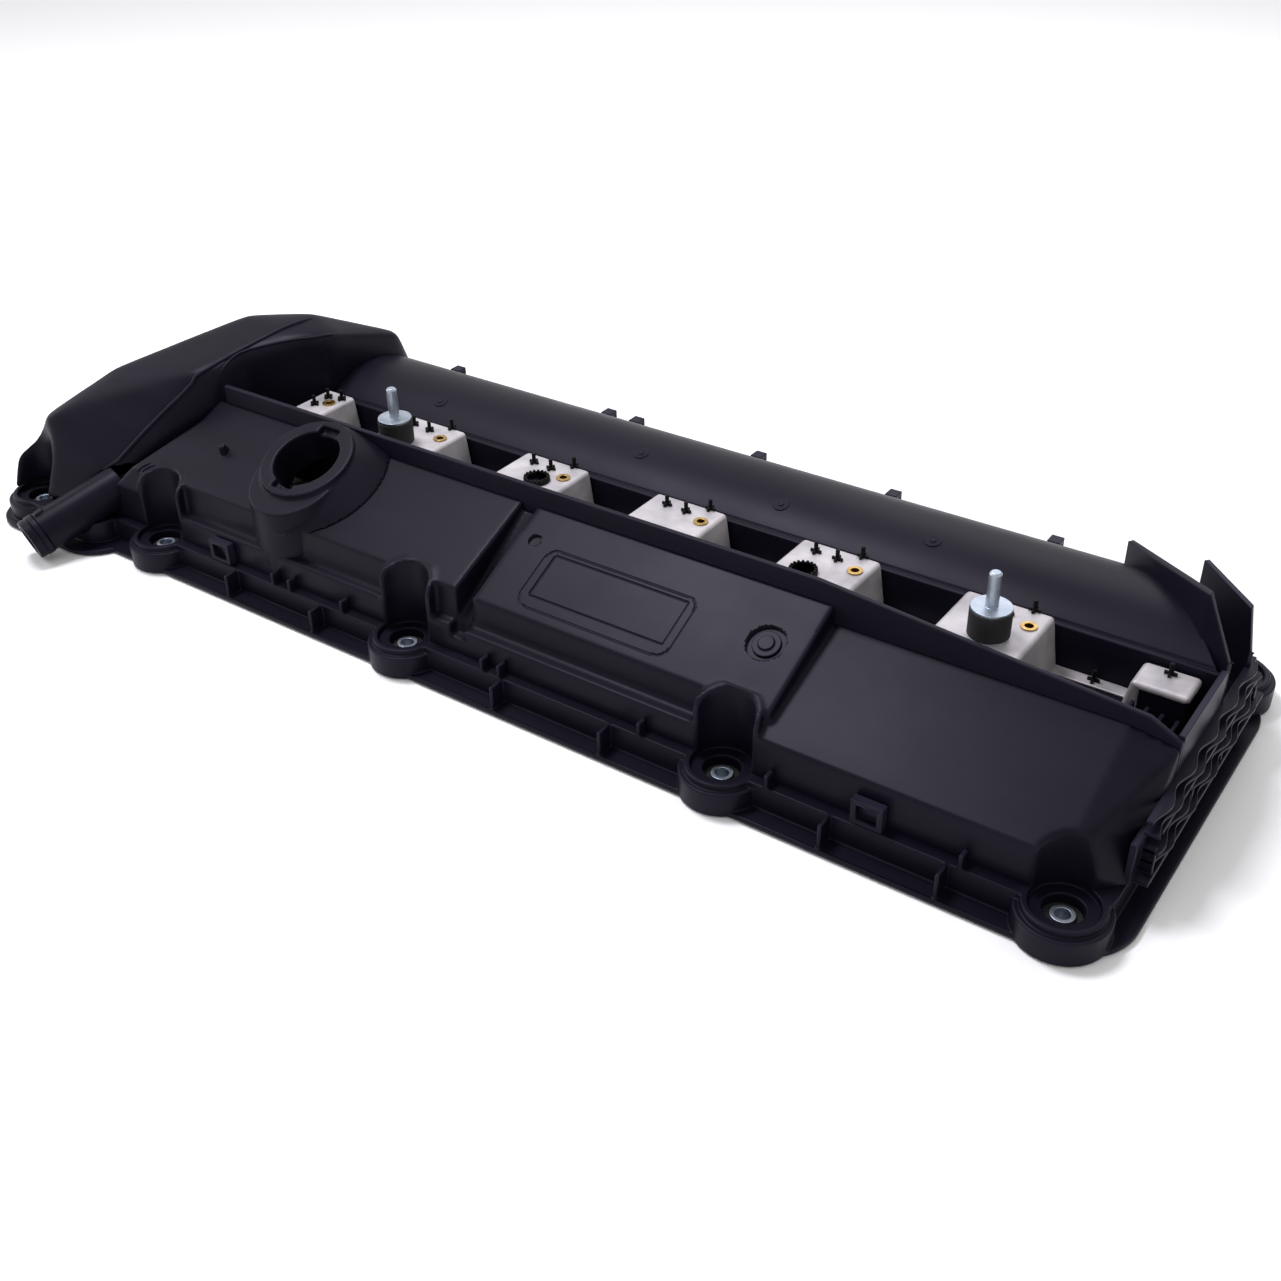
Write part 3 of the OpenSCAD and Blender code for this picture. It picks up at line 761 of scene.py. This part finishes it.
def seat_caps():
    """The six pressed caps, each with a hole for its insert and two with one for a duct socket."""
    caps = []
    for x, left in SEAT_ENDS:
        cap = pressed(seat_cap(x, left, SHEET_T), SHEET_ROUND, 4, 20)
        cut(cap, [seat_cap(x, left, 0.02)])
        cut(cap, [sheet_hole(x + INSERT_AT[0], INSERT_AT[1], INSERT_HOLE_R, 40)])
        caps.append(cap)
    for i, x, y in DUCT_SOCKETS:
        cut(caps[i], [sheet_hole(i * PITCH + x, y, DUCT_HOLE_R, 48)])
    return caps


def from_last_seat(profile, y0, y1):
    """An (x, z) profile that counts x from the last seat, drawn out along Y."""
    return prism_y([(LAST_X + x, z) for x, z in profile], y0, y1)


def rear_clip():
    """The bent cap over the rear seat, open at its near side and its rear end."""
    outside = [(45.8, CAP_FOOT), (77.2, CAP_FOOT), (76.2, 60), (49.8, 60)]
    inside = [(47, FLOOR_Z - 3), (76, FLOOR_Z - 3), (75, 58.8), (51, 58.8)]
    low_z, lip_z = FLOOR_Z - 4, 57.0
    near_side = [(54, low_z), (90, low_z), (90, lip_z), (54, lip_z)]
    rear_end = [(70, low_z), (90, low_z), (90, lip_z), (70, lip_z)]
    clip = pressed(from_last_seat(outside, 4.8, SHEET_FAR_Y), SHEET_ROUND, 4, 20)
    cut(clip, [from_last_seat(inside, 6, 26)])
    return cut(clip, [from_last_seat(near_side, 0, 7), from_last_seat(rear_end, 0, 26)])


def plate_strip():
    """The flat strip along the valley's far side, cut away inside the caps."""
    outline = rounded_outline(-20, LAST_X + 50, 18, 25.6, 2)
    strip = pressed(prism_z(outline, FLOOR_Z + 0.05, FLOOR_Z + 1.4), 0.5, 2)
    return cut(strip, [seat_cap(x, left, 0.6) for x, left in SEAT_ENDS])


def earth_plate():
    """Pressed caps with rounded corners over the six seats, a rear clip and the strips between."""
    bm = bmesh.new()
    for part in seat_caps() + [rear_clip(), plate_strip()]:
        bm.from_mesh(part.data)
        bpy.data.objects.remove(part)
    piece = mesh_object("earth_plate_piece", bm)
    shade(piece)
    finish_piece(piece, SHEET, "earth_sheet", "earth_plate")


# ------------------------------------------------------------------ shelves and marks

SHELVES = ((23.5, 8.0), (29.0, 7.0), (37.5, 6.0), (43.5, 4.5))  # height, reach behind the end wall
SHELF_T = 1.8
WAVE = 1.5  # depth of the scallops
WAVE_RUN = 4.6  # along y, for one radian of the scallops


def wavy_shelf(z, reach, phase):
    """A thin shelf behind the end wall with a scalloped outer edge."""
    x0 = REAR_X - 10.5
    ys = [-66 + 2.5 * i for i in range(57)]
    edge = [(x0 + reach + WAVE * math.sin(y / WAVE_RUN + phase), y) for y in ys]
    return prism_z([(x0, ys[0])] + edge + [(x0, ys[-1])], z, z + SHELF_T)


def rear_shelves():
    """The stacked scalloped ribs that hold the harness round the rear end."""
    for i, (z, reach) in enumerate(SHELVES):
        shelf = wavy_shelf(z, reach, i * 2.1)
        shelf.name = "rear_shelf_%d" % (i + 1)
        soften(shelf, 0.35, 2)
        finish_piece(shelf, PLASTIC, "moulding")


def cover_marks():
    """Shallow round gate marks along the exhaust-side shell."""
    axis_y, axis_z, shell_r = 62.0, 14.0, 60.0
    for i, x in enumerate((60, 205, 300, 385)):
        lean = math.radians(18 - 6 * (i % 2))
        up = Vector((0, -math.sin(lean), math.cos(lean)))
        center = Vector((x, axis_y, axis_z)) + up * shell_r
        mark = union([
            rod(center - up * 1.0, center + up * 0.45, 4.6, 4.2, 40),
            rod(center - up * 1.0, center + up * 1.0, 1.8, 1.5, 24),
        ])
        mark.name = "cover_mark_%d" % (i + 1)
        soften(mark, 0.25, 2)
        finish_piece(mark, PLASTIC, "moulding")


# ------------------------------------------------------------------ pieces

MOULDED = {  # CAD nodes of black plastic, and how far their edges are rounded
    "joint_flange": 0.9,
    "coil_valley": 0.8,
    "valley_rim": 0.8,
    "coil_seats": 0.6,
    "exhaust_chamber": 1.0,
    "breather_nozzle": 0.8,
    "rear_fins": 0.6,
    "rear_wall": 0.5,
    "clip_boxes": 0.5,
    "duct_hooks": 0.5,
}
for node, width in MOULDED.items():
    piece = soften(copy_of(node + "_moulded", node), width)
    finish_piece(piece, PLASTIC, "moulding", node)

filler_chamber()
filler_neck()
timing_housing()
rear_shelves()
cover_marks()
earth_plate()

OTHERS = {  # the other CAD nodes: how far their edges are rounded, material and slot
    "earth_inserts": (0.2, BRASS, "insert_brass"),
    "plate_pins": (0.15, PIN_PLASTIC, "pin_plastic"),
    "duct_sockets": (0.2, PIN_PLASTIC, "pin_plastic"),
    "buffer_rubbers": (0.6, BUFFER_RUBBER, "buffer_rubber"),
    "buffer_feet": (0.2, STEEL, "zinc_steel"),
    "buffer_studs": (0.25, STEEL, "zinc_steel"),
    "perimeter_gasket": (0.4, SEAL_RUBBER, "seal_rubber"),
    "bolt_grommets": (0.4, SEAL_RUBBER, "seal_rubber"),
    "bolt_sleeves": (0.3, STEEL, "zinc_steel"),
    "oil_baffle": (0.3, BAFFLE, "baffle_plastic"),
    "well_seal": (0.4, SEAL_RUBBER, "seal_rubber"),
}
for node, (width, material, slot) in OTHERS.items():
    piece = soften(copy_of(node + "_piece", node), width, 2)
    finish_piece(piece, material, slot, node)


# ------------------------------------------------------------------ floor, lights, camera

def floor():
    """A plain pale floor under the lowest point."""
    bm = bmesh.new()
    bmesh.ops.create_grid(bm, x_segments=2, y_segments=2, size=6)
    mesh = bpy.data.meshes.new("floor")
    bm.to_mesh(mesh)
    bm.free()
    obj = link("floor", mesh)
    obj.location.z = cad_low[2]
    mat, tree, shader = new_material("floor", (0.92, 0.92, 0.92), 0.7)
    obj.data.materials.append(mat)


def area(name, place, aim, size, watts, color):
    """A square area light at place, aimed at a point, both in metres."""
    data = bpy.data.lights.new(name, "AREA")
    data.shape = "SQUARE"
    data.size = size
    data.energy = watts
    data.color = color
    obj = bpy.data.objects.new(name, data)
    bpy.context.scene.collection.objects.link(obj)
    obj.location = place
    obj.rotation_euler = (Vector(aim) - Vector(place)).to_track_quat("-Z", "Y").to_euler()


def lights():
    """A soft sheen over the sloping panels, a faint light from behind and one from the left."""
    middle = (0.16, 0.0, 0.03)
    cool = (0.93, 0.92, 1.0)
    area("panel_sheen", (-0.47, 0.02, 1.69), (0.32, -0.06, 0.05), size=0.47, watts=23.5, color=cool)
    area("far_key", (0.1, 1.3, 1.1), middle, size=1.0, watts=5, color=cool)
    area("left_rim", (-1.4, -0.3, 0.7), middle, size=0.7, watts=5, color=cool)
    world = bpy.data.worlds.new("studio")
    bpy.context.scene.world = world
    world.use_nodes = True
    back = world.node_tree.nodes["Background"]
    back.inputs["Color"].default_value = (1, 1, 1, 1)
    back.inputs["Strength"].default_value = 0.75


def camera():
    """The photograph's viewpoint: 36 degrees round and 34 degrees up, with a slight roll."""
    right = Vector((0.8162, 0.5774, -0.0210)).normalized()
    back = Vector((0.4900, -0.6725, 0.5547)).normalized()
    up = back.cross(right).normalized()
    place = station(644.8, -559.1, 447.0)
    data = bpy.data.cameras.new("camera")
    data.lens = 41.587
    data.sensor_width = 36
    data.clip_start = 0.01
    obj = bpy.data.objects.new("camera", data)
    bpy.context.scene.collection.objects.link(obj)
    turn = Matrix((right, up, back)).transposed().to_4x4()
    obj.matrix_world = Matrix.Translation(place) @ turn
    bpy.context.scene.camera = obj


floor()
lights()
camera()
bpy.context.scene.view_settings.view_transform = "Standard"
